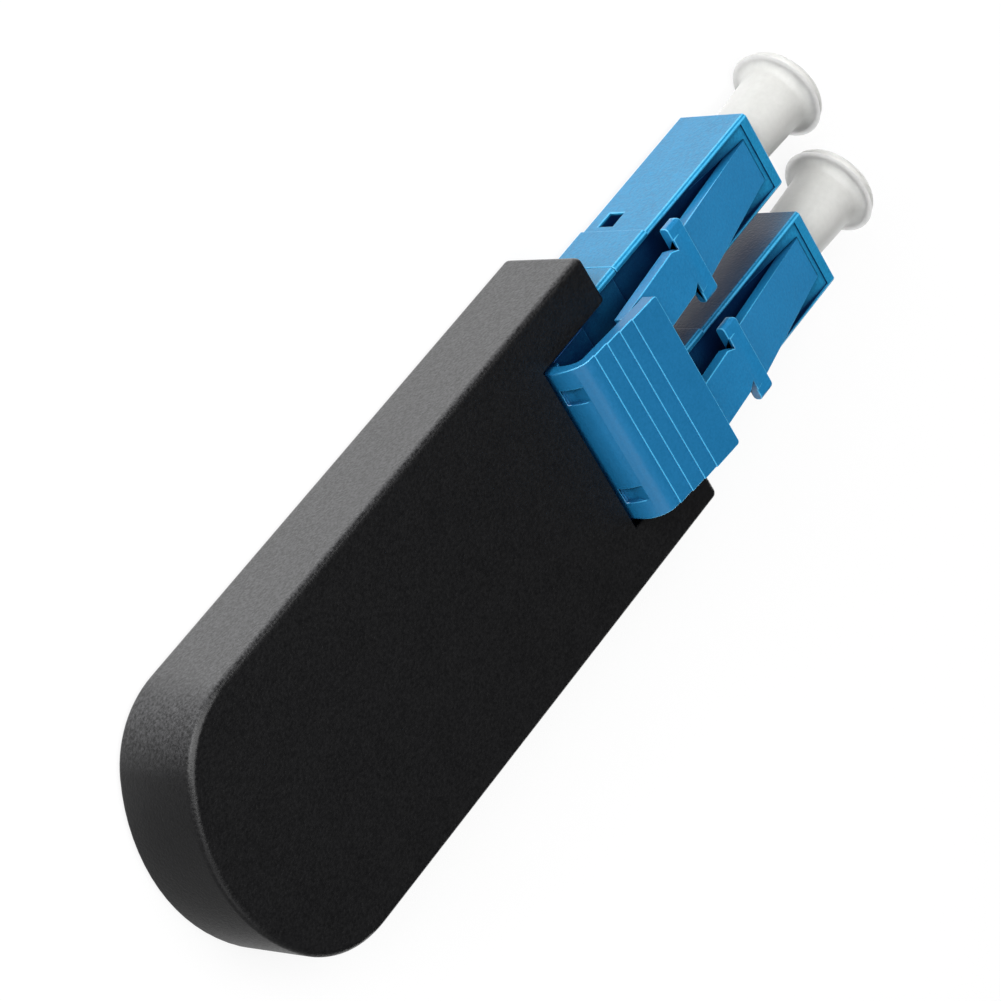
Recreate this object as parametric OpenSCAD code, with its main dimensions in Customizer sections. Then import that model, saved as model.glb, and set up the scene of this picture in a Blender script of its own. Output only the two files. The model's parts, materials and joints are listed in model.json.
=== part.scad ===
// Fibre loopback plug: two latched single-fibre plugs in a duplex clip with
// one ribbed trigger, a flat moulded housing and the fibre loop inside it.
// Every piece is drawn from the plug datum: x = 0 at the front faces of the
// plug noses, x runs forward, y to the left, z up, z = 0 on the ferrule axes.

/* [Housing] */
// Length of the housing behind its front face
housing_l = 35.6; // [33:0.1:45]
// Width of the housing
housing_w = 15.2; // [15:0.1:18]
// Thickness of the housing
housing_h = 5.1; // [5:0.1:5.6]
// Height of the ferrule axes above the face that the plug rests on
axis_h = 2.5; // [2.45:0.05:2.7]
// Thickness of the side wall above the cover ledge
side_wall = 1.2; // [1:0.1:1.4]
// Width of the ledge that the bottom cover seats against
ledge_w = 0.35; // [0.25:0.05:0.5]
// Thickness of the roof
roof_t = 0.75; // [0.6:0.05:0.9]
// Thickness of the bottom cover
cover_t = 0.55; // [0.45:0.05:0.6]
// Thickness of the front wall that holds the duplex clip
front_wall = 1.3; // [1:0.1:1.4]
// Radius of the two rear corners
corner_r = 5.2; // [3:0.1:6]
// Radius of the bulged rear end
end_r = 9.5; // [9:0.5:30]
// Rounding of the outer edges
edge_r = 0.35; // [0.2:0.05:0.5]
// Length of the cut-out for the trigger
cutout_l = 5.55; // [5.4:0.05:6.5]
// Width of the cut-out for the trigger
cutout_w = 9.8; // [9.6:0.1:10.2]

/* [Plugs] */
// Distance between the two ferrule axes
pitch = 6.25; // [6.1:0.05:6.4]
// Width and height of the square nose
nose_w = 4.5; // [4.4:0.05:4.6]
// Reach of the noses in front of the housing
nose_reach = 14; // [13.8:0.1:15]
// Length of the nose ahead of its wider rear section
nose_l = 9.4; // [9.2:0.1:9.8]
// Width of the plug behind the nose
rear_w = 4.75; // [4.65:0.05:4.85]
// Length of the plug ahead of the clip's sleeve
plug_l = 12.3; // [12:0.1:12.5]
// Bevel on the long edges of the plug
plug_bevel = 0.14; // [0.05:0.01:0.2]
// Length of the flat land in front of the latch
land_l = 0.6; // [0.4:0.05:0.8]
// Width of the channel that the latch lies in
channel_w = 4; // [3.8:0.05:4.1]
// Depth of the channel's step behind the land
step_d = 0.08; // [0.04:0.02:0.2]
// Width of the shank that the clip holds
shank_w = 3.8; // [3.6:0.05:3.9]
// Height of the shank that the clip holds
shank_h = 3.3; // [3.2:0.05:3.4]
// End of the shank behind the nose front
shank_end = 17.5; // [17:0.1:17.7]
// Diameter of the front bore and of the spring cavity
cavity_d = 2.6; // [2.5:0.02:2.64]
// Length of the front bore
front_bore_l = 3.2; // [3:0.1:3.5]
// Length of the side window for the spring seat's lug
window_l = 1.1; // [0.9:0.1:1.3]
// Height of the side window
window_h = 1; // [0.7:0.1:1.1]

/* [Latches and trigger] */
// Width of the latch plate at its hinge
hinge_w = 2.5; // [2:0.05:2.8]
// Width of the latch plate in front of its lugs
latch_w = 3.3; // [3.1:0.05:3.5]
// Width of the latch arm behind its lugs
arm_w = 2.65; // [2.4:0.05:2.7]
// Thickness of the latch
latch_t = 0.65; // [0.55:0.05:0.7]
// Slope of the latch plate in degrees
latch_slope = 10; // [9:0.1:10.2]
// Clearance between the end of the arm and the trigger
arm_gap = 0.12; // [0.08:0.01:0.2]
// Width across the two locking lugs
lug_span = 4.6; // [4.4:0.05:4.8]
// Thickness of the lugs
lug_t = 0.56; // [0.45:0.01:0.58]
// Start of the lugs behind the nose front
lug_x = 8.3; // [8.1:0.1:8.6]
// Length of the lugs
lug_l = 1.1; // [0.9:0.1:1.3]
// End of the latch arm behind the nose front
arm_end = 15.1; // [14.8:0.1:15.2]
// Width of the trigger
trigger_w = 9.3; // [9:0.1:9.4]
// Front edge of the trigger behind the nose front
trigger_front = 13.5; // [13.4:0.1:13.8]
// Height of the trigger's front lip above the ferrule axes
lip_z = 5.35; // [5.2:0.05:5.5]
// Thickness of the trigger's plate
trigger_t = 0.55; // [0.45:0.05:0.7]
// Length of the flat band at the trigger's front
band_l = 1.85; // [1.5:0.05:2]
// Length of the trigger's rear bend
bend_l = 1.15; // [1:0.05:1.3]
// Number of ribs across the trigger
rib_n = 4; // [2:1:5]
// Height of each rib
rib_h = 0.09; // [0.06:0.01:0.14]

/* [Optical parts] */
// Diameter of the ceramic ferrule
ferrule_d = 1.25; // [1.2:0.01:1.3]
// Length of the ferrule
ferrule_l = 6.4; // [6:0.1:6.6]
// Reach of the ferrule in front of the nose
ferrule_reach = 1.9; // [1.5:0.1:2.1]
// Diameter of the spring's wire
wire_d = 0.3; // [0.24:0.02:0.32]
// Number of turns of the spring
spring_turns = 7; // [5:1:9]
// Diameter of the buffered fibre
fibre_d = 0.9; // [0.8:0.02:0.92]
// Clearance between the fibre's turn and the side walls
bend_gap = 0.35; // [0.3:0.05:0.6]
// Diameter of the boot where it leaves the plug
boot_d = 3; // [2.8:0.1:3]
// End of the boot behind the nose front
boot_end = 24.5; // [24:0.5:26]

/* [Dust caps] */
// Reach of the cap in front of the nose
cap_reach = 5.2; // [4.6:0.1:6]
// Diameter of the cap's flange
flange_d = 4.9; // [4.4:0.05:5]
// Diameter of the cap's tube at the nose
tube_d = 3.3; // [3.1:0.05:3.5]
// Radius of the blend from the tube to the flange
blend_r = 0.8; // [0.5:0.05:0.9]
// Length of the cap's neck inside the nose
neck_l = 1.9; // [1.5:0.1:2]

/* [Hidden] */
$fn = 48;

left = 1;
right = -1;
run_gap = 0.03;
seat_gap = 0.05;
far = 20;

housing_black = [0.11, 0.11, 0.12];
plug_blue = [0.14, 0.46, 0.67];
ceramic_white = [0.93, 0.92, 0.88];
metal_grey = [0.72, 0.72, 0.7];
fibre_yellow = [0.93, 0.8, 0.25];
cap_white = [0.9, 0.9, 0.89];

// Levels and stations in the datum of the plugs
base_z = -axis_h;
cover_top = base_z + cover_t;
roof_z = base_z + housing_h;
ceiling_z = roof_z - roof_t;
front_x = -nose_reach;
rear_x = front_x - housing_l;
nose_x = (housing_l + nose_reach - cap_reach) / 2;
cutout_x = front_x - cutout_l;
cavity_wall = 0.35;
channel_floor = cavity_d / 2 + cavity_wall;

// Clip that holds the two shanks
clip_w = pitch + rear_w;
clip_top = shank_h / 2 + 0.15;
clip_low = cover_top + seat_gap;
seat_flange_l = 0.8;
clip_end = shank_end + seat_flange_l + 0.9;
clip_ear_w = housing_w - 2 * side_wall - 2 * seat_gap;
clip_ear_l = 1.2;
saddle_top = clip_top + 0.25;
saddle_w = trigger_w - 0.2;
saddle_x = arm_end + 0.6;
stop_l = 0.7;
opening_w = clip_w + 2 * seat_gap;

// Latch and trigger pivots
hinge_gap = 0.02;
knuckle_r = 0.3;
knuckle_x = -land_l - 0.2 - knuckle_r;
knuckle_z = nose_w / 2 - knuckle_r;
lug_end = lug_x + lug_l;
trigger_rear = cutout_x + 0.25;
pivot_r = 0.4;
pivot_x = trigger_rear + 0.6;
pivot_z = saddle_top + 0.1;
lip_x = -trigger_front;
lip_l = 0.6;
lip_t = trigger_t + 0.25;
crown_x = trigger_rear + bend_l;
crown_drop = 0.85;
crown_z = lip_z - crown_drop;

// Stations of the pieces inside a plug
ring_l = 0.4;
ring_d = cavity_d - 0.5;
stop_x = -front_bore_l - ring_l;
collar_d = cavity_d - 0.1;
collar_l = 1.3;
collar_rear = stop_x - run_gap - collar_l;
hub_l = 1.7;
fibre_bore_d = fibre_d + 0.1;
hub_d = fibre_bore_d + 0.26;
spring_d = hub_d + 0.1 + 2 * wire_d;
window_x = -lug_x + 0.5;
window_z = -0.9;
cup_x = window_x + 0.2;
cup_floor = window_x - window_l - 0.3;
tail_d = 2;
tail_l = 2.8;
tail_end = -shank_end - seat_flange_l - tail_l;

// Fibre route
fibre_start = collar_rear - 1.15;
bend_r = housing_w / 2 - side_wall - bend_gap - fibre_d / 2;
bend_x = rear_x + side_wall + 0.7 + bend_r;
sway_x0 = -boot_end - 0.5;
sway_x1 = bend_x + 4;
spool_r = bend_r - fibre_d / 2 - 0.3;
spool_top = 0.8;
peg_d = 1.5;
boss_d = 3.2;
peg_gap = 0.04;
peg_xs = [-boot_end - 3, (-boot_end - 3 + bend_x) / 2, bend_x];
cradle_x = tail_end - 0.5;
cradle_l = 0.9;

function arc(cx, cy, r, a0, a1, n) =
    [for (k = [0 : n]) let (a = a0 + (a1 - a0) * k / n)
        [cx + r * cos(a), cy + r * sin(a)]];

function flip_y(points) =
    [for (k = [len(points) - 1 : -1 : 0]) [points[k][0], -points[k][1]]];

function bevelled(w, h, c) =
    [[w / 2, c - h / 2], [w / 2, h / 2 - c], [w / 2 - c, h / 2],
     [c - w / 2, h / 2], [-w / 2, h / 2 - c], [-w / 2, c - h / 2],
     [c - w / 2, -h / 2], [w / 2 - c, -h / 2]];

function rounded(w, h, r, n) = concat(
    arc(w / 2 - r, h / 2 - r, r, 0, 90, n),
    arc(r - w / 2, h / 2 - r, r, 90, 180, n),
    arc(r - w / 2, r - h / 2, r, 180, 270, n),
    arc(w / 2 - r, r - h / 2, r, 270, 360, n));

// Plan outline of the housing, moved inwards by inset: a straight front,
// straight sides and a bulged end that runs into the two corner arcs
function housing_plan(inset) =
    let (half = housing_w / 2,
         cy = half - corner_r,
         tip = asin(cy / (end_r - corner_r)),
         ex = rear_x + end_r,
         cx = ex - (end_r - corner_r) * cos(tip),
         nose_corner = arc(front_x - edge_r, half - edge_r,
                           max(edge_r - inset, 0.01), 0, 90, 4),
         front = inset < edge_r ? nose_corner
                                : [[front_x - inset, half - inset]],
         corner = arc(cx, cy, corner_r - inset, 90, 180 - tip, 14),
         bulge = arc(ex, 0, end_r - inset, 180 - tip, 180, 8),
         side = concat(front, corner, bulge))
    concat(side, flip_y(side));

// Height of the trigger's lower face at a distance behind the nose front
function trigger_under(d) =
    let (x0 = lip_x - lip_l, z0 = lip_z - lip_t, z1 = crown_z - trigger_t)
    z0 + (z1 - z0) * (-d - x0) / (crown_x - x0);

// Height of the latch's upper face at a distance behind the nose front: the
// plate rises to the lugs, and the arm from there to the trigger
function latch_top(d) =
    let (lug_z = nose_w / 2 + tan(latch_slope) * (lug_end + knuckle_x),
         end_z = trigger_under(arm_end) - arm_gap)
    d < lug_end ? nose_w / 2 + tan(latch_slope) * (d + knuckle_x)
                : lug_z + (end_z - lug_z) * (d - lug_end) / (arm_end - lug_end);

// Plan outline of the latch plate, wider by gap all round: it flares from
// the hinge to the lugs
function plate_plan(gap) =
    let (side = [[knuckle_x + knuckle_r + gap, hinge_w / 2 + gap],
                 [knuckle_x - knuckle_r, hinge_w / 2 + gap],
                 [-lug_end, latch_w / 2 + gap]])
    concat(side, flip_y(side));

module placed() {
    translate([nose_x, 0, axis_h]) children();
}

module at_plug(side) {
    translate([0, side * pitch / 2, 0]) children();
}

// Extrudes a (y, z) section from x0 back to x1
module x_run(x0, x1) {
    translate([x1, 0, 0]) rotate([90, 0, 90])
        linear_extrude(x0 - x1) children();
}

// Extrudes an (x, z) profile across the width w
module y_run(w) {
    rotate([90, 0, 0]) translate([0, 0, -w / 2])
        linear_extrude(w) children();
}

module x_rod(x0, x1, d) {
    translate([x1, 0, 0]) rotate([0, 90, 0]) cylinder(h = x0 - x1, d = d);
}

// Turns an (r, x) profile about the ferrule axis
module x_turn() {
    rotate([0, 90, 0]) rotate_extrude() children();
}

module x_block(x0, x1, w, z0, z1) {
    translate([x1, -w / 2, z0]) cube([x0 - x1, w, z1 - z0]);
}

// Skins a list of closed rings, each with the same number of points
module skin(rings) {
    sides = len(rings[0]);
    last = (len(rings) - 1) * sides;
    points = [for (ring = rings) each ring];
    walls = [for (i = [0 : len(rings) - 2], j = [0 : sides - 1])
        let (a = i * sides + j, b = i * sides + (j + 1) % sides)
        [a, b, b + sides, a + sides]];
    near_end = [for (j = [sides - 1 : -1 : 0]) j];
    far_end = [for (j = [0 : sides - 1]) last + j];
    polyhedron(points, concat([near_end], walls, [far_end]));
}

// ---- Housing ----

module housing_solid() {
    steps = 4;
    hull() for (k = [0 : steps]) {
        inset = edge_r * (1 - cos(90 * k / steps));
        lift = edge_r * (1 - sin(90 * k / steps));
        translate([0, 0, base_z + lift])
            linear_extrude(housing_h - 2 * lift)
                polygon(housing_plan(inset));
    }
}

module clip_stops() {
    stop_x0 = front_x - front_wall - clip_ear_l - 2 * seat_gap;
    stop_w = (housing_w - opening_w) / 2;
    for (side = [left, right])
        translate([stop_x0 - stop_l, side > 0 ? opening_w / 2 : -housing_w / 2 + edge_r,
                   cover_top + seat_gap])
            cube([stop_l, stop_w - edge_r, ceiling_z - cover_top]);
}

module housing_shell() {
    inner = side_wall;
    color(housing_black) placed() difference() {
        union() {
            difference() {
                housing_solid();
                translate([0, 0, cover_top]) linear_extrude(ceiling_z - cover_top)
                    intersection() {
                        polygon(housing_plan(inner));
                        translate([rear_x, -housing_w / 2])
                            square([housing_l - front_wall, housing_w]);
                    }
            }
            for (x = peg_xs) translate([x, 0, spool_top + seat_gap])
                cylinder(h = ceiling_z - spool_top, d = boss_d);
            clip_stops();
        }
        translate([0, 0, base_z - 1]) linear_extrude(cover_t + 1)
            difference() {
                polygon(housing_plan(inner - ledge_w));
                translate([front_x - inner + ledge_w, -housing_w])
                    square([far, 2 * housing_w]);
            }
        x_block(front_x + 1, front_x - front_wall - 1, opening_w,
                base_z - 1, ceiling_z);
        x_block(front_x + 1, cutout_x, cutout_w, clip_low, roof_z + 1);
        for (x = peg_xs) translate([x, 0, base_z])
            cylinder(h = ceiling_z - base_z, d = peg_d + 2 * peg_gap);
    }
}

module bottom_cover() {
    rim = side_wall - ledge_w + seat_gap;
    color(housing_black) placed() {
        difference() {
            union() {
                translate([0, 0, base_z]) linear_extrude(cover_t) {
                    polygon(housing_plan(rim));
                    translate([front_x - side_wall, seat_gap - opening_w / 2])
                        square([side_wall, opening_w - 2 * seat_gap]);
                }
                for (side = [left, right]) at_plug(side)
                    x_block(cradle_x, cradle_x - cradle_l, boot_d + 1,
                            base_z + cover_t / 2, 0);
            }
            for (side = [left, right]) at_plug(side)
                x_rod(cradle_x + 1, cradle_x - cradle_l - 1, boot_d + 2 * seat_gap);
        }
        translate([bend_x, 0, base_z + cover_t / 2])
            cylinder(h = spool_top - base_z - cover_t / 2, r = spool_r);
        for (x = peg_xs) {
            translate([x, 0, base_z + cover_t / 2])
                cylinder(h = spool_top - base_z - cover_t / 2, d = boss_d);
            translate([x, 0, base_z + cover_t / 2])
                cylinder(h = ceiling_z - base_z - cover_t / 2 - seat_gap, d = peg_d);
        }
    }
}

// ---- Duplex clip and trigger ----

module duplex_clip() {
    ear_x = front_x - front_wall - seat_gap;
    color(plug_blue) placed() difference() {
        union() {
            for (side = [left, right]) at_plug(side)
                x_run(-plug_l - seat_gap, front_x + seat_gap)
                    polygon(bevelled(rear_w, nose_w, plug_bevel));
            x_block(front_x + seat_gap, -clip_end, clip_w, clip_low, clip_top);
            x_block(ear_x, ear_x - clip_ear_l, clip_ear_w, clip_low, clip_top);
            x_block(-saddle_x, -clip_end, saddle_w, clip_low, saddle_top);
        }
        for (side = [left, right]) at_plug(side) {
            x_run(0, -shank_end - seat_flange_l - seat_gap)
                square([shank_w + 2 * run_gap, shank_h + 2 * run_gap], center = true);
            x_run(0, front_x)
                translate([-channel_w / 2, clip_top])
                    square([channel_w, nose_w]);
            x_rod(-shank_end, -clip_end - 1, boot_d + 2 * seat_gap);
        }
        translate([pivot_x, 0, pivot_z]) y_run(trigger_w)
            circle(r = pivot_r + run_gap);
        translate([pivot_x - pivot_r - far, -trigger_w / 2, pivot_z - pivot_r / 2])
            cube([far + pivot_r, trigger_w, far]);
    }
}

// Trigger section: a flat band at the front, ribs as small steps, then a
// back that curves down as a quarter ellipse to the pivot
module trigger_profile() {
    rear_z = pivot_z + pivot_r;
    rib_front = lip_x - band_l;
    rib_rear = crown_x + 0.15;
    rib_pitch = (rib_front - rib_rear) / (rib_n - 1);
    slope = (lip_z - crown_z - rib_n * rib_h) / (lip_x - crown_x);
    ribs = [for (k = [0 : rib_n - 1])
        let (x = rib_front - k * rib_pitch,
             z = lip_z - slope * (lip_x - x) - k * rib_h)
        each [[x, z], [x, z - rib_h]]];
    back = arc(0, 0, 1, 90, 180, 10);
    outer = [for (p = back)
        [crown_x + p[0] * bend_l, rear_z + p[1] * (crown_z - rear_z)]];
    inner = [for (k = [10 : -1 : 0]) let (p = back[k])
        [crown_x + p[0] * (bend_l - trigger_t),
         rear_z + p[1] * (crown_z - rear_z - trigger_t)]];
    polygon(concat([[lip_x, lip_z]], ribs, outer,
                   [[trigger_rear, pivot_z]],
                   [[trigger_rear + trigger_t, pivot_z]], inner,
                   [[lip_x - lip_l, lip_z - lip_t], [lip_x, lip_z - lip_t]]));
}

module trigger() {
    notch_w = 0.85;
    notch_l = 0.32;
    notch_d = 0.22;
    notch_y = trigger_w / 3;
    plan_r = 0.18;
    color(plug_blue) placed() {
        difference() {
            intersection() {
                y_run(trigger_w) trigger_profile();
                translate([(trigger_rear + lip_x) / 2, 0, 0])
                    linear_extrude(far)
                        polygon(rounded(lip_x - trigger_rear, trigger_w, plan_r, 4));
            }
            for (side = [left, right]) translate([0, side * notch_y, 0])
                y_run(notch_w) difference() {
                    translate([trigger_rear - 1, pivot_z + pivot_r])
                        square([notch_l + 1, far]);
                    translate([notch_d, -notch_d]) trigger_profile();
                    translate([trigger_rear + trigger_t, pivot_z])
                        square([far, crown_z - trigger_t - pivot_z]);
                }
        }
        translate([pivot_x, 0, pivot_z]) y_run(saddle_w) circle(r = pivot_r);
    }
}

// ---- Plugs ----

module plug_body(side) {
    slope_end = -5.2;
    color(plug_blue) placed() at_plug(side) difference() {
        union() {
            x_run(0, -nose_l) polygon(bevelled(nose_w, nose_w, plug_bevel));
            x_run(-nose_l, -plug_l) polygon(bevelled(rear_w, nose_w, plug_bevel));
            x_run(-plug_l, -shank_end) square([shank_w, shank_h], center = true);
        }
        y_run(channel_w)
            polygon([[-land_l, nose_w], [-land_l, nose_w / 2 - step_d],
                     [slope_end, channel_floor], [-plug_l - 1, channel_floor],
                     [-plug_l - 1, nose_w]]);
        intersection() {
            translate([0, 0, channel_floor]) linear_extrude(nose_w)
                polygon(plate_plan(run_gap));
            x_block(knuckle_x, -lug_end, nose_w, 0, far);
        }
        translate([knuckle_x, 0, knuckle_z]) y_run(hinge_w + 2 * run_gap)
            circle(r = knuckle_r + hinge_gap);
        x_rod(1, -front_bore_l, cavity_d);
        x_rod(0, stop_x - 1, ring_d);
        x_rod(stop_x, -shank_end - 1, cavity_d);
        translate([window_x - window_l, -nose_w, window_z - window_h / 2])
            cube([window_l, 2 * nose_w, window_h]);
    }
}

// Latch: a flared plate with its hinge knuckle, two lugs and a narrower arm
// with a small relief behind each lug
module latch(side) {
    tip = 0.25;
    relief = 0.28;
    relief_l = 0.55;
    lug_r = 0.3;
    arm_side = [[0, arm_w / 2], [-lug_end, arm_w / 2 - relief],
                [-lug_end - relief_l, arm_w / 2], [-arm_end, arm_w / 2]];
    color(plug_blue) placed() at_plug(side) {
        intersection() {
            y_run(latch_w)
                polygon([[knuckle_x, nose_w / 2], [knuckle_x, channel_floor + 0.02],
                         [-lug_end, latch_top(lug_end) - latch_t],
                         [-lug_end, latch_top(lug_end)]]);
            linear_extrude(far) polygon(plate_plan(0));
        }
        translate([knuckle_x, 0, knuckle_z]) y_run(hinge_w) circle(r = knuckle_r);
        intersection() {
            y_run(arm_w)
                polygon([[-lug_x, latch_top(lug_x)], [-lug_x, latch_top(lug_x) - latch_t],
                         [-lug_end, latch_top(lug_end) - latch_t],
                         [-arm_end, latch_top(arm_end) - latch_t],
                         [-arm_end, latch_top(arm_end) - tip],
                         [tip - arm_end, latch_top(arm_end - tip)],
                         [-lug_end, latch_top(lug_end)]]);
            linear_extrude(far) polygon(concat(arm_side, flip_y(arm_side)));
        }
        intersection() {
            x_run(-lug_x, -lug_end)
                translate([0, latch_top(lug_x + lug_l / 2) - lug_t / 2])
                    polygon(rounded(lug_span, lug_t, lug_t * 0.4, 5));
            translate([-lug_x - (lug_l + lug_r) / 2, 0, 0]) linear_extrude(far)
                polygon(rounded(lug_l + lug_r, lug_span, lug_r, 4));
        }
    }
}

// ---- Optical parts ----

module ferrule(side) {
    chamfer = 0.12;
    color(ceramic_white) placed() at_plug(side) x_turn()
        polygon([[0, ferrule_reach - ferrule_l], [ferrule_d / 2, ferrule_reach - ferrule_l],
                 [ferrule_d / 2, ferrule_reach - chamfer],
                 [ferrule_d / 2 - chamfer, ferrule_reach], [0, ferrule_reach]]);
}

module ferrule_flange(side) {
    socket_x = ferrule_reach - ferrule_l - run_gap;
    front_hub_d = ring_d - 0.1;
    front_hub_x = 0.8 - front_bore_l;
    color(metal_grey) placed() at_plug(side) difference() {
        union() {
            x_rod(front_hub_x, collar_rear, front_hub_d);
            translate([collar_rear, 0, 0]) rotate([0, 90, 0])
                cylinder(h = collar_l, d = collar_d, $fn = 6);
            x_rod(collar_rear, collar_rear - hub_l, hub_d);
        }
        x_rod(1, socket_x, ferrule_d + 0.02);
        x_rod(fibre_start + 1, collar_rear - hub_l - 1, fibre_bore_d);
    }
}

module spring(side) {
    step_n = 14;
    sides = 6;
    r = (spring_d - wire_d) / 2;
    x0 = collar_rear - run_gap - wire_d / 2;
    x1 = cup_floor + run_gap + wire_d / 2;
    n = spring_turns * step_n;
    rings = [for (i = [0 : n])
        let (a = 360 * i / step_n,
             share = max(0, min(1, (i - step_n) / (n - 2 * step_n))),
             close = wire_d * (i < step_n ? i / step_n
                               : i > n - step_n ? 1 + (i - n + step_n) / step_n : 1),
             x = x0 - close + (x1 - x0 + 2 * wire_d) * share)
        [for (j = [0 : sides - 1])
            let (b = 360 * j / sides, rho = r + wire_d / 2 * cos(b))
            [x + wire_d / 2 * sin(b), rho * cos(a), rho * sin(a)]]];
    color(metal_grey) placed() at_plug(side) skin(rings);
}

module spring_seat(side) {
    lug_reach = cavity_d + 0.5;
    lug_gap = 0.1;
    color(plug_blue) placed() at_plug(side) difference() {
        union() {
            x_rod(cup_x, -shank_end - 0.5, cavity_d - 2 * run_gap);
            x_run(-shank_end - run_gap, -shank_end - seat_flange_l)
                square([shank_w - 0.1, shank_h - 0.1], center = true);
            x_rod(-shank_end, tail_end, tail_d);
            translate([window_x - window_l + lug_gap, -lug_reach / 2,
                       window_z - window_h / 2 + lug_gap])
                cube([window_l - 2 * lug_gap, lug_reach, window_h - 2 * lug_gap]);
        }
        x_rod(0, cup_floor, spring_d + 0.1);
        x_rod(0, tail_end - 1, fibre_bore_d);
    }
}

module boot(side) {
    mouth_x = -shank_end - seat_flange_l - seat_gap;
    tip_d = fibre_bore_d + 0.8;
    rib_gap = 0.5;
    rib_xs = [tail_end - 0.9, tail_end - 1.9];
    color(housing_black) placed() at_plug(side) difference() {
        x_turn() polygon([[0, -boot_end], [tip_d / 2, -boot_end],
                          [boot_d / 2, tail_end - 0.3], [boot_d / 2, mouth_x], [0, mouth_x]]);
        x_rod(mouth_x + 1, tail_end - seat_gap, tail_d + 2 * run_gap);
        x_rod(0, -boot_end - 1, fibre_bore_d);
        for (x = rib_xs) x_turn()
            translate([tip_d / 2 + 0.1, x - rib_gap]) square([boot_d, rib_gap]);
    }
}

// Half of the fibre's route: straight out of the plug, a gentle sway out to
// the bend radius, then a quarter of the turn at the rear
function fibre_half() =
    let (amp = bend_r - pitch / 2,
         start = [for (k = [0 : 2])
             [fibre_start + (sway_x0 - fibre_start) * k / 3, pitch / 2]],
         sway = [for (k = [0 : 10])
             [sway_x0 + (sway_x1 - sway_x0) * k / 10,
              pitch / 2 + amp * (1 - cos(18 * k)) / 2]],
         turn = arc(bend_x, 0, bend_r, 90, 180, 10))
    concat(start, sway, turn);

module fibre_loop() {
    sides = 8;
    half = fibre_half();
    route = concat(half, [for (k = [len(half) - 2 : -1 : 0]) [half[k][0], -half[k][1]]]);
    n = len(route) - 1;
    rings = [for (i = [0 : n])
        let (a = route[max(i - 1, 0)], b = route[min(i + 1, n)],
             d = (b - a) / norm(b - a))
        [for (j = [0 : sides - 1])
            let (t = 360 * (j + 0.5) / sides, out = fibre_d / 2 * cos(t))
            [route[i][0] - d[1] * out, route[i][1] + d[0] * out,
             fibre_d / 2 * sin(t)]]];
    color(fibre_yellow) placed() skin(rings);
}

// ---- Dust caps ----

module dust_cap(side) {
    flare = 0.16;
    rim_r = 0.32;
    neck_d = cavity_d - 0.15;
    hole_d = ferrule_d + 0.07;
    hole_end = ferrule_reach + 0.5;
    tube_r = tube_d / 2;
    flange_x = cap_reach - 2 * rim_r;
    blend_x = flange_x - blend_r;
    color(cap_white) placed() at_plug(side) x_turn()
        polygon(concat(
            [[0, hole_end], [hole_d / 2, hole_end], [hole_d / 2, -neck_l],
             [neck_d / 2 - 0.15, -neck_l], [neck_d / 2, 0.15 - neck_l],
             [neck_d / 2, run_gap], [tube_r, run_gap]],
            arc(tube_r + flare + blend_r, blend_x, blend_r, 180, 90, 6),
            arc(flange_d / 2 - rim_r, cap_reach - rim_r, rim_r, -90, 90, 8),
            [[0, cap_reach]]));
}

housing_shell();
bottom_cover();
duplex_clip();
trigger();
plug_body(left);  // plug_body_left
plug_body(right);  // plug_body_right
latch(left);  // latch_left
latch(right);  // latch_right
ferrule(left);  // ferrule_left
ferrule(right);  // ferrule_right
ferrule_flange(left);  // ferrule_flange_left
ferrule_flange(right);  // ferrule_flange_right
spring(left);  // spring_left
spring(right);  // spring_right
spring_seat(left);  // spring_seat_left
spring_seat(right);  // spring_seat_right
boot(left);  // boot_left
boot(right);  // boot_right
fibre_loop();
dust_cap(left);  // dust_cap_left
dust_cap(right);  // dust_cap_right
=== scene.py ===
"""Looks of the fibre loopback plug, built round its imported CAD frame.

Everything is in metres in the row frame: +X the way the plugs go into a port, +Y left, +Z the
latch side, with z = 0 on the face that the plug rests on. Lengths that are written in
millimetres are multiplied by MM.
"""

import json
import math

import bmesh
import bpy
from mathutils import Matrix, Vector


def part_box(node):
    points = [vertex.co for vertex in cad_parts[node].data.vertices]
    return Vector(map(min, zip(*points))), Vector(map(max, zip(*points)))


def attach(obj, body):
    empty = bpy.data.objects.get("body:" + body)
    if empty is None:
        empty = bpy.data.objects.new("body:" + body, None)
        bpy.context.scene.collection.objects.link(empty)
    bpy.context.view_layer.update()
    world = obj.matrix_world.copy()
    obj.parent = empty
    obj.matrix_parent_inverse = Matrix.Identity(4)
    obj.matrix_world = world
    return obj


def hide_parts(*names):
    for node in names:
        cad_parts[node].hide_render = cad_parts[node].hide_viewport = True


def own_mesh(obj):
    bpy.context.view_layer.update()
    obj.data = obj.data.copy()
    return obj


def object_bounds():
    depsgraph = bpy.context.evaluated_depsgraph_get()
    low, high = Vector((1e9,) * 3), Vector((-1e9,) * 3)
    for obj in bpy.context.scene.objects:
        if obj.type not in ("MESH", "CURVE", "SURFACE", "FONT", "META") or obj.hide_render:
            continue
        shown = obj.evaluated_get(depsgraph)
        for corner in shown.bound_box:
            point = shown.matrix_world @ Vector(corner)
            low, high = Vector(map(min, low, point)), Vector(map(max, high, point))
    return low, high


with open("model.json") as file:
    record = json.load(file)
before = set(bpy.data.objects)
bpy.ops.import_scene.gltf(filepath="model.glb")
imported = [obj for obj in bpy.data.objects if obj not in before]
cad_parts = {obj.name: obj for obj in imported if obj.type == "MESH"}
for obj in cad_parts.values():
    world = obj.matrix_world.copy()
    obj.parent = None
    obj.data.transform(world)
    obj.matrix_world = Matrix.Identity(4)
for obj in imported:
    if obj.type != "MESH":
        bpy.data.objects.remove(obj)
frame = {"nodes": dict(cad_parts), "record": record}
cad_lo, cad_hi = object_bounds()
nodes = frame["nodes"]
behaviour = frame["record"]["behaviour"]
scene = bpy.context.scene

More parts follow.
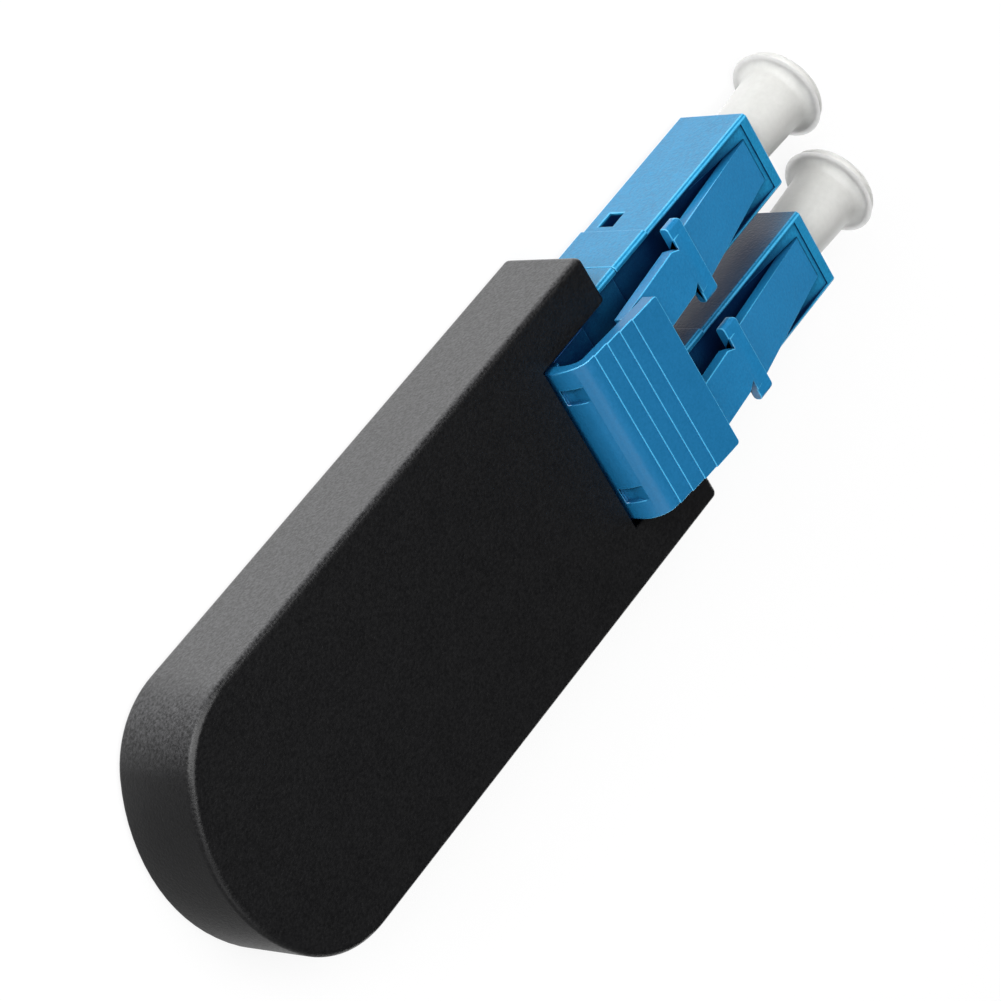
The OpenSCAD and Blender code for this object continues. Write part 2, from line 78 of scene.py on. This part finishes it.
MM = 0.001
WHITE = (1, 1, 1, 1)
SIDES = ("left", "right")
plug_lo, plug_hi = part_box("plug_body_left")
PLUG_FRONT = plug_hi.x
PLUG_AXIS = (plug_lo.z + plug_hi.z) / 2
PLUG_OFFSET = (plug_lo.y + plug_hi.y) / 2


# ---- Camera ----

# The direction of view and the roll, in degrees, as fitted to the photo
CAMERA_AZIMUTH, CAMERA_ELEVATION, CAMERA_ROLL = -42.5, -45.36, 91.4
CAMERA_AIM = Vector((PLUG_FRONT - 23.753 * MM, 0.516 * MM, PLUG_AXIS))
CAMERA_DISTANCE = 191.15 * MM
# Focal length and sensor width, in the millimetres that Blender's camera takes
CAMERA_LENS, CAMERA_SENSOR = 143.9, 36
CAMERA_CLIP = (0.01, 10)


def make_camera():
    """Looks down on the plug from behind and to its left, rolled so that it points up right."""
    azimuth, elevation = math.radians(CAMERA_AZIMUTH), math.radians(CAMERA_ELEVATION)
    forward = Vector((math.cos(elevation) * math.cos(azimuth),
                      math.cos(elevation) * math.sin(azimuth),
                      math.sin(elevation)))
    data = bpy.data.cameras.new("camera")
    data.lens, data.sensor_width = CAMERA_LENS, CAMERA_SENSOR
    data.clip_start, data.clip_end = CAMERA_CLIP
    camera = bpy.data.objects.new("camera", data)
    scene.collection.objects.link(camera)
    level = forward.to_track_quat("-Z", "Y").to_matrix().to_4x4()
    camera.matrix_world = (Matrix.Translation(CAMERA_AIM - forward * CAMERA_DISTANCE)
                           @ level @ Matrix.Rotation(math.radians(CAMERA_ROLL), 4, "Z"))
    scene.camera = camera


# ---- Node trees ----

class Nodes:
    """A small hand for wiring one node tree."""

    def __init__(self, name, world=False):
        self.owner = (bpy.data.worlds if world else bpy.data.materials).new(name)
        self.owner.use_nodes = True
        self.tree = self.owner.node_tree
        self.tree.nodes.clear()

    def add(self, kind, sockets=(), **settings):
        """Adds a node. A socket's value is a plain value, or an output to link."""
        node = self.tree.nodes.new("ShaderNode" + kind)
        for key, value in settings.items():
            setattr(node, key, value)
        for key, value in dict(sockets).items():
            if isinstance(value, bpy.types.NodeSocket):
                self.tree.links.new(value, node.inputs[key])
            else:
                node.inputs[key].default_value = value
        return node

    def math(self, operation, *values):
        """One step of arithmetic on plain values or outputs."""
        return self.add("Math", enumerate(values), operation=operation).outputs[0]

    def axis(self, vector, name):
        """The X, Y or Z of a vector."""
        return self.add("SeparateXYZ", {"Vector": vector}).outputs[name]

    def noise(self, place, size, detail=3.0, roughness=0.55):
        """Noise whose features are about size metres across."""
        return self.add("TexNoise", {"Vector": place, "Scale": 1 / size, "Detail": detail,
                                     "Roughness": roughness}).outputs["Fac"]

    def span(self, value, low, high, in_low=0.3, in_high=0.7):
        """Spreads a value over the range from low to high. The input range suits noise."""
        return self.add("MapRange", {"Value": value, "From Min": in_low, "From Max": in_high,
                                     "To Min": low, "To Max": high}).outputs["Result"]

    def tint(self, share, first, second):
        """Mixes two colours, each a plain one or an output to link."""
        colours = [colour if isinstance(colour, bpy.types.NodeSocket) else (*colour, 1)
                   for colour in (first, second)]
        return self.add("Mix", {"Factor": share, 6: colours[0], 7: colours[1]},
                        data_type="RGBA").outputs[2]

    def bump(self, height, distance, normal=None):
        """Raises the surface by up to distance metres, on top of another bump's normal."""
        sockets = {"Height": height, "Distance": distance}
        if normal is not None:
            sockets["Normal"] = normal
        return self.add("Bump", sockets).outputs["Normal"]

    def mixed(self, share, first, second):
        """Mixes the shaders of two nodes."""
        return self.add("MixShader", {0: share, 1: first.outputs[0],
                                      2: second.outputs[0]}).outputs[0]

    def finish(self, shader, kind="OutputMaterial"):
        """Wires the shader to the output of the material or world, which it returns."""
        self.add(kind, {"Surface": shader})
        return self.owner


# ---- Materials ----

CLOUD_SIZE = 2.5 * MM
# How much the cloud counts beside the fine grain, and the range of both that changes the colour
CLOUD_SHARE = 0.4
COLOUR_RANGE = (0.45, 0.95)
# The coarse grain's size and height beside those of the fine grain
COARSE_SIZE, COARSE_DEPTH = 4, 0.5
ROUGHNESS_SPREAD = 0.05
# How far a neighbouring face still shelters a gap and casts painted shade into it
SHELTER_REACH = 3.2 * MM
# Past this distance from the middle plane a face looks outwards, and no painted gap shade
# darkens it
OUTER_FACES = (5.2 * MM, 5.3 * MM)
# Radius of the glass fibre's end, from its inner to its outer soft edge
FIBRE_END = (0.060 * MM, 0.066 * MM)
# The part of the grain that counts as high points
HIGH_POINTS = (0.35, 0.75)
# How squarely a face must look left or right before its high points show the painted glint
SIDEWAYS = (0.6, 0.95)


def with_painted_gap_shade(m, place, colour, painted_shade_colour, shade):
    """Painted shade: deepens the colour to hollow where neighbouring faces shelter a point."""
    shelter = m.add("AmbientOcclusion", {"Distance": SHELTER_REACH}, samples=8).outputs["AO"]
    outside = m.span(m.math("ABSOLUTE", m.axis(place, "Y")), 0, 1, *OUTER_FACES)
    open_to_light = m.math("MAXIMUM", m.span(shelter, 0, 1, *shade), outside)
    return m.tint(open_to_light, painted_shade_colour, colour)


def with_fibre_end(m, place, colour, core):
    """Puts a dot of the colour core on the axis of each plug."""
    off_axis = m.math("SUBTRACT", m.math("ABSOLUTE", m.axis(place, "Y")), PLUG_OFFSET)
    above = m.math("SUBTRACT", m.axis(place, "Z"), PLUG_AXIS)
    across = m.add("CombineXYZ", {"X": off_axis, "Y": above}).outputs[0]
    radius = m.add("VectorMath", {0: across}, operation="LENGTH").outputs["Value"]
    return m.tint(m.span(radius, 0, 1, *FIBRE_END), core, colour)


def with_painted_glints(m, fine, colour, painted_glint):
    """Paints a glint on the fine grain's high points, towards scuff, on the faces to the left
    and right.
    """
    facing = m.axis(m.add("TexCoord").outputs["Normal"], "Y")
    sideways = m.span(m.math("ABSOLUTE", facing), 0, 1, *SIDEWAYS)
    points = m.math("MULTIPLY", m.span(fine, 0, 1, *HIGH_POINTS), sideways)
    return m.tint(points, colour, painted_glint)


def moulded(name, dark, light, rough, grain, depth, specular=0.5, subsurface=0.0,
            reach=0.35 * MM, painted_shade_colour=None, shade=(0.40, 0.93), core=None, painted_glint=None):
    """Moulded plastic, rubber or ceramic.

    grain is the texture's size, depth its height, and reach how far light soaks in, in metres.
    hollow is the colour of painted shade in the plastic's narrow gaps, over the range shade
    of how far a point is open to the light. core is the colour of the glass fibre that shows in
    the middle of a ferrule's end. scuff is the colour of a painted glint on the grain's high
    points on the faces to the left and right.
    """
    m = Nodes(name)
    place = m.add("TexCoord").outputs["Object"]
    cloud = m.noise(place, CLOUD_SIZE, detail=4)
    fine = m.noise(place, grain, detail=2, roughness=0.6)
    coarse = m.noise(place, grain * COARSE_SIZE)
    normal = m.bump(fine, depth, normal=m.bump(coarse, depth * COARSE_DEPTH))
    both = m.math("MULTIPLY_ADD", cloud, CLOUD_SHARE, fine)
    colour = m.tint(m.span(both, 0, 1, *COLOUR_RANGE), dark, light)
    # Painted glint: light catching the grain of the faces that look left and right
    if painted_glint is not None:
        colour = with_painted_glints(m, fine, colour, painted_glint)
    # Painted shade: the colour deepens where neighbouring faces shelter a point
    if painted_shade_colour is not None:
        colour = with_painted_gap_shade(m, place, colour, painted_shade_colour, shade)
    if core is not None:
        colour = with_fibre_end(m, place, colour, core)
    shader = m.add("BsdfPrincipled", {
        "Base Color": colour,
        "Roughness": m.span(fine, rough - ROUGHNESS_SPREAD, rough + ROUGHNESS_SPREAD),
        "Specular IOR Level": specular,
        "Subsurface Weight": subsurface,
        "Subsurface Radius": (1.0, 1.0, 1.0),
        "Subsurface Scale": reach,
        "Normal": normal})
    return m.finish(shader.outputs["BSDF"])


def make_metal():
    """Turned and drawn nickel-plated metal."""
    m = Nodes("metal_nickel")
    place = m.add("TexCoord").outputs["Object"]
    stretched = m.add("Mapping", {"Vector": place, "Scale": (8.0, 1.0, 1.0)}).outputs["Vector"]
    lines = m.noise(stretched, 0.25 * MM)
    shader = m.add("BsdfPrincipled", {
        "Base Color": m.tint(m.span(lines, 0, 1), (0.50, 0.50, 0.49), (0.66, 0.65, 0.63)),
        "Roughness": m.span(lines, 0.22, 0.34),
        "Metallic": 1.0,
        "Normal": m.bump(lines, 0.001 * MM)})
    return m.finish(shader.outputs["BSDF"])


def make_materials():
    # The colour of the painted shade in the gaps of the blue parts
    painted_shade_navy = (0.0005, 0.009, 0.045)
    return {
        # The housing's sides take a painted glint on the high points of their grain
        "housing": moulded(
            "housing_black", (0.0010, 0.0010, 0.0014), (0.0042, 0.0042, 0.0047), rough=0.42,
            grain=0.14 * MM, depth=0.018 * MM, specular=0.45, painted_glint=(0.060, 0.060, 0.063)),
        "plug": moulded(
            "plug_blue", (0.0085, 0.138, 0.275), (0.0135, 0.208, 0.400), rough=0.36,
            grain=0.14 * MM, depth=0.016 * MM, specular=0.24, painted_shade_colour=painted_shade_navy, shade=(0.45, 0.97)),
        "latch": moulded(
            "latch_blue", (0.0070, 0.135, 0.300), (0.0110, 0.178, 0.385), rough=0.34,
            grain=0.14 * MM, depth=0.008 * MM, specular=0.45, painted_shade_colour=painted_shade_navy, shade=(0.20, 0.75)),
        "trigger": moulded(
            "trigger_blue", (0.0060, 0.108, 0.240), (0.0085, 0.130, 0.290), rough=0.34,
            grain=0.14 * MM, depth=0.005 * MM, specular=0.45, painted_shade_colour=painted_shade_navy, shade=(0.10, 0.60)),
        # Painted highlight: a lighter blue for the rounded edges of the blue parts, with
        # painted shade in its gaps
        "edge": moulded(
            "edge_blue_painted_highlight", (0.04, 0.31, 0.55), (0.05, 0.36, 0.62), rough=0.30,
            grain=0.16 * MM, depth=0.002 * MM, specular=0.7, painted_shade_colour=(0.001, 0.03, 0.12)),
        "cap": moulded(
            "cap_white", (0.475, 0.475, 0.462), (0.515, 0.515, 0.50), rough=0.42,
            grain=0.30 * MM, depth=0.002 * MM, subsurface=1.0, reach=1.0 * MM),
        "ceramic": moulded(
            "ceramic_white", (0.80, 0.79, 0.74), (0.84, 0.83, 0.79), rough=0.16,
            grain=0.2 * MM, depth=0.0006 * MM, core=(0.10, 0.11, 0.12)),
        "boot": moulded(
            "boot_rubber", (0.012, 0.012, 0.013), (0.02, 0.02, 0.021), rough=0.62,
            grain=0.12 * MM, depth=0.006 * MM),
        "fibre": moulded(
            "fibre_yellow", (0.78, 0.55, 0.05), (0.84, 0.62, 0.08), rough=0.38,
            grain=0.2 * MM, depth=0.002 * MM, subsurface=0.1),
        "metal": make_metal(),
    }


def paint(obj, *materials):
    """Gives the object's slots these materials in turn."""
    while len(obj.material_slots) < len(materials):
        obj.data.materials.append(materials[0])
    for slot, material in zip(obj.material_slots, materials):
        slot.link = "OBJECT"
        slot.material = material


# ---- Pieces ----

# Each part's material. A part is one node, or a left and a right one.
PART_MATERIAL = {
    "housing_shell": "housing", "bottom_cover": "housing", "duplex_clip": "plug",
    "trigger": "trigger", "plug_body": "plug", "latch": "latch", "spring_seat": "plug",
    "ferrule": "ceramic", "ferrule_flange": "metal", "spring": "metal", "boot": "boot",
    "fibre_loop": "fibre", "dust_cap": "cap"}
# The record's slot of each material that a finished part has
MATERIAL_SLOT = {"housing": "housing", "plug": "plug", "latch": "plug", "trigger": "plug",
                 "cap": "cap"}
# How far each finished part's edges are rounded, in millimetres
EDGE_ROUNDING = {"housing_shell": 0.10, "bottom_cover": 0.06, "duplex_clip": 0.05,
                 "trigger": 0.045, "plug_body": 0.05, "latch": 0.05, "dust_cap": 0.03}
# Where edges stay crisp, in millimetres behind the front of the plugs: the hinge of the latch
CRISP = {"plug_body": (0.5, 2.0), "latch": (0.5, 1.5)}
BEVEL_SEGMENTS = 3
# The least angle, in degrees, at which an edge counts as sharp, and at which one of a coil does
EDGE_ANGLE = 28
COIL_ANGLE = 80
# Points closer than this, in millimetres, are one, and faces within this many degrees are flat
WELD_DISTANCE = 0.0005
FLAT_ANGLE = 0.6


def nodes_of(part):
    """The CAD nodes of a part: the one of its name, or a left and a right one."""
    return [part] if part in nodes else [f"{part}_{side}" for side in SIDES]


def body_of(node):
    """The body that carries a CAD node."""
    return next(body for body, held in behaviour["bodies"].items() if node in held)


def prepared(node, crisp, least_angle):
    """The CAD node's mesh in millimetres, smooth, with a bevel weight on each edge to round.

    Blender's own tolerances are set for metres, so the bevel is made at a thousand times the
    size. The second of the two empty slots is for the rounded edges.
    """
    mesh = nodes[node].data.copy()
    mesh.transform(Matrix.Scale(1 / MM, 4) @ nodes[node].matrix_world)
    bm = bmesh.new()
    bm.from_mesh(mesh)
    bmesh.ops.remove_doubles(bm, verts=bm.verts, dist=WELD_DISTANCE)
    bmesh.ops.dissolve_limit(bm, angle_limit=math.radians(FLAT_ANGLE), verts=bm.verts,
                             edges=bm.edges)
    weights = bm.edges.layers.float.new("bevel_weight_edge")
    for edge in bm.edges:
        bent = (len(edge.link_faces) == 2
                and edge.calc_face_angle() > math.radians(least_angle))
        behind = [PLUG_FRONT / MM - vert.co.x for vert in edge.verts]
        left_crisp = crisp is not None and crisp[0] < min(behind) and max(behind) < crisp[1]
        rounded = bent and edge.is_convex and not left_crisp
        edge[weights] = float(rounded)
        edge.smooth = rounded or not bent
    for face in bm.faces:
        face.smooth = True
    bm.to_mesh(mesh)
    bm.free()
    mesh.materials.clear()
    for _ in range(2):
        mesh.materials.append(None)
    return mesh


def finished(node, width=0, crisp=None, least_angle=EDGE_ANGLE):
    """A smooth copy of a CAD node, its sharp edges rounded by width. It stands for the node."""
    maker = bpy.data.objects.new("maker", prepared(node, crisp, least_angle))
    scene.collection.objects.link(maker)
    if width > 0:
        bevel = maker.modifiers.new("bevel", "BEVEL")
        bevel.width, bevel.segments = width, BEVEL_SEGMENTS
        bevel.limit_method = "WEIGHT"
        bevel.use_clamp_overlap = False
        bevel.miter_outer = "MITER_ARC"
        # The rounded faces take the second slot, which on blue parts holds the
        # painted-highlight edge material
        bevel.material = 1
        even = maker.modifiers.new("even", "WEIGHTED_NORMAL")
        even.keep_sharp = True
        even.weight = 100
    depsgraph = bpy.context.evaluated_depsgraph_get()
    mesh = bpy.data.meshes.new_from_object(maker.evaluated_get(depsgraph))
    bpy.data.objects.remove(maker)
    mesh.transform(Matrix.Scale(MM, 4))
    piece = bpy.data.objects.new(f"{node}_finished", mesh)
    scene.collection.objects.link(piece)
    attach(piece, body_of(node))
    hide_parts(node)
    return piece


def make_spring(side, material):
    """A smooth copy of the coil in the given material, with a mesh of its own."""
    node, joint = f"spring_{side}", f"ferrule_{side}_float"
    coil = finished(node, least_angle=COIL_ANGLE)
    paint(coil, material)
    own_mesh(coil)


def make_pieces(materials):
    """Paints every CAD node, and puts finished pieces in the place of those that need them."""
    for part, kind in PART_MATERIAL.items():
        for node in nodes_of(part):
            paint(nodes[node], materials[kind])
    for part, width in EDGE_ROUNDING.items():
        kind = PART_MATERIAL[part]
        slot = MATERIAL_SLOT[kind]
        # The rounded edges of blue parts take the lighter edge material, a painted highlight;
        # others keep their own
        edge = "edge" if slot == "plug" else kind
        for node in nodes_of(part):
            paint(finished(node, width, CRISP.get(part)), materials[kind], materials[edge])
    for side in SIDES:
        make_spring(side, materials["metal"])


# ---- Studio ----

FLOOR_SIZE = 2.0
FLOOR_COLOUR = (0.86, 0.86, 0.86, 1)
# The floor's share of white glow, near the plug and far from it, and where it changes
GLOW_SHARE = (0.85, 1.0)
GLOW_REACH = (0.04, 0.16)
# What glossy faces see in the floor: dim behind the housing, bright beside it
CARD_STRENGTH = (0.15, 2.00)
CARD_EDGE = (cad_lo.x - 1 * MM, cad_lo.x + 8 * MM)
WORLD_STRENGTH = 0.07
# Name, direction from the plug, distance, size, power, and whether glossy faces show it
LAMPS = (("key", (-0.20, 0.42, 0.88), 0.4, 0.40, 2.15, True),
         ("left", (-0.55, 0.82, 0.15), 0.5, 0.40, 3.6, True),
         ("fill", (-0.8, -0.5, 0.5), 0.7, 0.4, 0.6, True),
         ("front", (0.98, -0.05, 0.18), 0.4, 0.4, 0.8, False))


def make_floor():
    """A pale floor, white to the camera but for the plug's own shadow."""
    bm = bmesh.new()
    bmesh.ops.create_grid(bm, x_segments=1, y_segments=1, size=FLOOR_SIZE)
    mesh = bpy.data.meshes.new("floor")
    bm.to_mesh(mesh)
    bm.free()
    floor = bpy.data.objects.new("floor", mesh)
    floor.location.z = cad_lo.z
    scene.collection.objects.link(floor)
    m = Nodes("floor_white")
    path = m.add("LightPath").outputs
    seen = m.math("MAXIMUM", path["Is Camera Ray"], path["Is Glossy Ray"])
    seen = m.math("MAXIMUM", seen, path["Is Transmission Ray"])
    place = m.add("TexCoord").outputs["Object"]
    away = m.add("VectorMath", {0: place}, operation="LENGTH").outputs["Value"]
    share = m.math("MULTIPLY", seen, m.span(away, *GLOW_SHARE, *GLOW_REACH))
    card = m.span(m.axis(place, "X"), *CARD_STRENGTH, *CARD_EDGE)
    strength = m.add("Mix", {"Factor": path["Is Glossy Ray"], 2: 1.0, 3: card},
                     data_type="FLOAT").outputs[0]
    matt = m.add("BsdfDiffuse", {"Color": FLOOR_COLOUR})
    glow = m.add("Emission", {"Color": WHITE, "Strength": strength})
    paint(floor, m.finish(m.mixed(share, matt, glow)))


def area_light(name, direction, distance, size, power, mirrored):
    """A soft square lamp that looks at the middle of the plug."""
    data = bpy.data.lights.new(name, "AREA")
    data.shape, data.size, data.energy = "SQUARE", size, power
    lamp = bpy.data.objects.new(name, data)
    towards = Vector(direction).normalized()
    lamp.location = (cad_lo + cad_hi) / 2 + towards * distance
    lamp.rotation_euler = towards.to_track_quat("Z", "Y").to_euler()
    lamp.visible_glossy = mirrored
    scene.collection.objects.link(lamp)


def make_lights():
    """The world is dim for light and reflections, and white to the camera."""
    m = Nodes("studio", world=True)
    path = m.add("LightPath").outputs
    seen = m.math("MAXIMUM", path["Is Camera Ray"], path["Is Transmission Ray"])
    dim = m.add("Background", {"Color": WHITE, "Strength": WORLD_STRENGTH})
    white = m.add("Background", {"Color": WHITE, "Strength": 1.0})
    scene.world = m.finish(m.mixed(seen, dim, white), "OutputWorld")
    for lamp in LAMPS:
        area_light(*lamp)


make_camera()
make_pieces(make_materials())
make_floor()
make_lights()
scene.view_settings.view_transform = "Standard"
